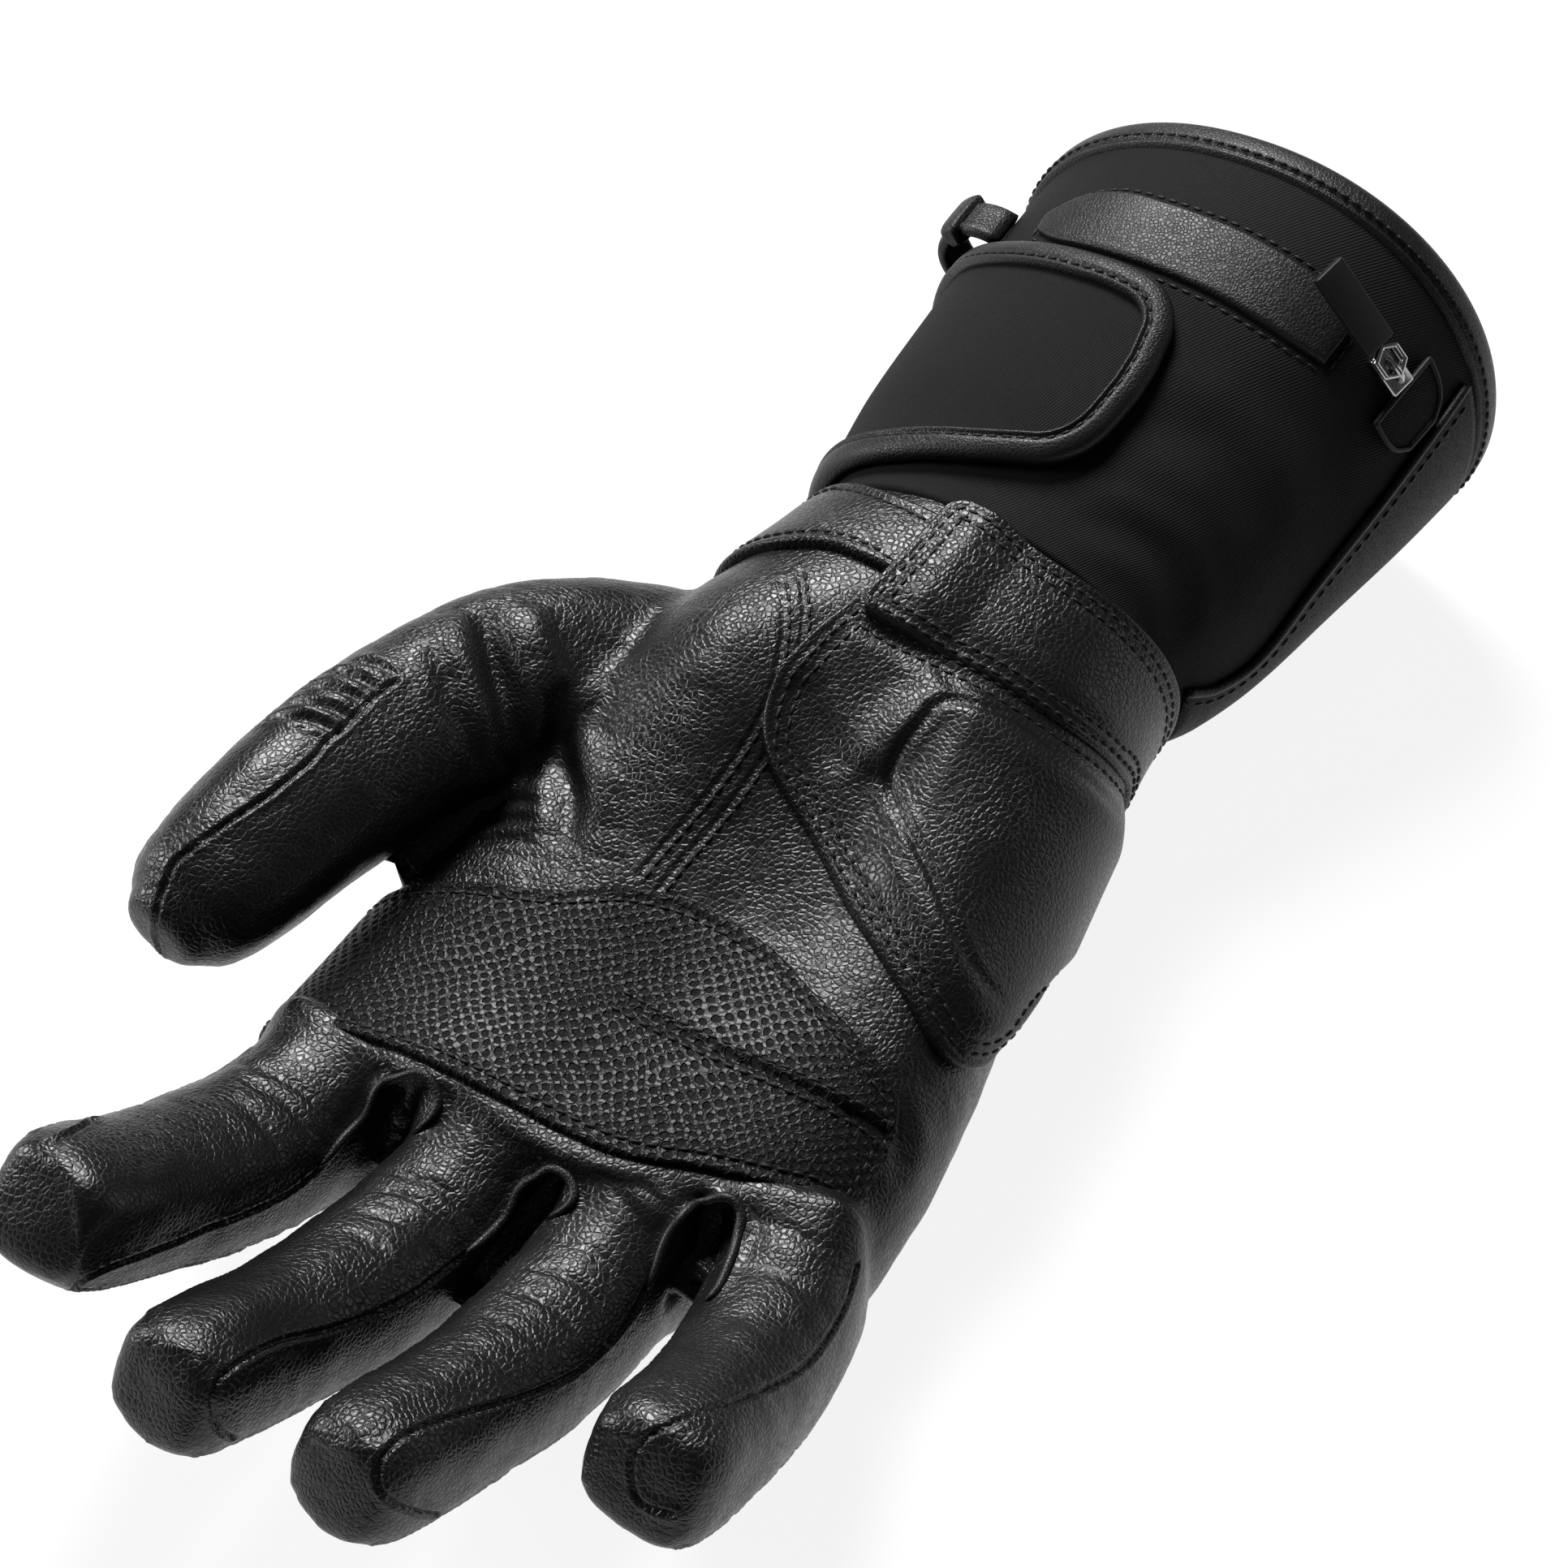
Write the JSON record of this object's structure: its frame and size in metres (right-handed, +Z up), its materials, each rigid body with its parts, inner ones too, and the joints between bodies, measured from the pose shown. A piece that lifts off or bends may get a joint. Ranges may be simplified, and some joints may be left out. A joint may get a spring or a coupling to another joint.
{
  "type": "heated glove",
  "caption": "Right-hand leather riding glove with a perforated palm patch, padded heel guard, wrist strap and a long flared fabric cuff.",
  "frame": {"origin": "under the middle of the glove's bounding box, on the surface that it lies on", "axes": "+Y from the fingertips to the rim of the cuff, +X to the little finger's side, +Z up out of the palm"},
  "size_m": [0.1638, 0.3314, 0.0956],
  "materials": {
    "goat_leather": "pebbled grain, semi-gloss",
    "perforated_leather": "perforated in rows, semi-gloss",
    "binding_leather": "fine grain, satin",
    "cuff_fabric": "fine twill, matte",
    "gunmetal": "dark polished",
    "rubber": "moulded, satin"
  },
  "bodies": {
    "root": {"palm_shell": "goat_leather", "index_finger": "goat_leather", "middle_finger": "goat_leather", "ring_finger": "goat_leather", "little_finger": "goat_leather", "thumb": "goat_leather", "palm_patch": "perforated_leather", "wrist_band": "goat_leather", "wrist_strap": "goat_leather", "heel_guard": "goat_leather", "gauntlet": "cuff_fabric", "cuff_flap": "cuff_fabric", "flap_piping": "binding_leather", "rim_binding": "binding_leather", "cuff_side_panel": "goat_leather", "zip_strip": "binding_leather", "zip_garage": "binding_leather", "pull_loop": "binding_leather", "loop_keeper": "binding_leather", "zip_slider": "gunmetal", "zip_ring": "gunmetal", "zip_pull": "rubber"}
  },
  "joints": []
}
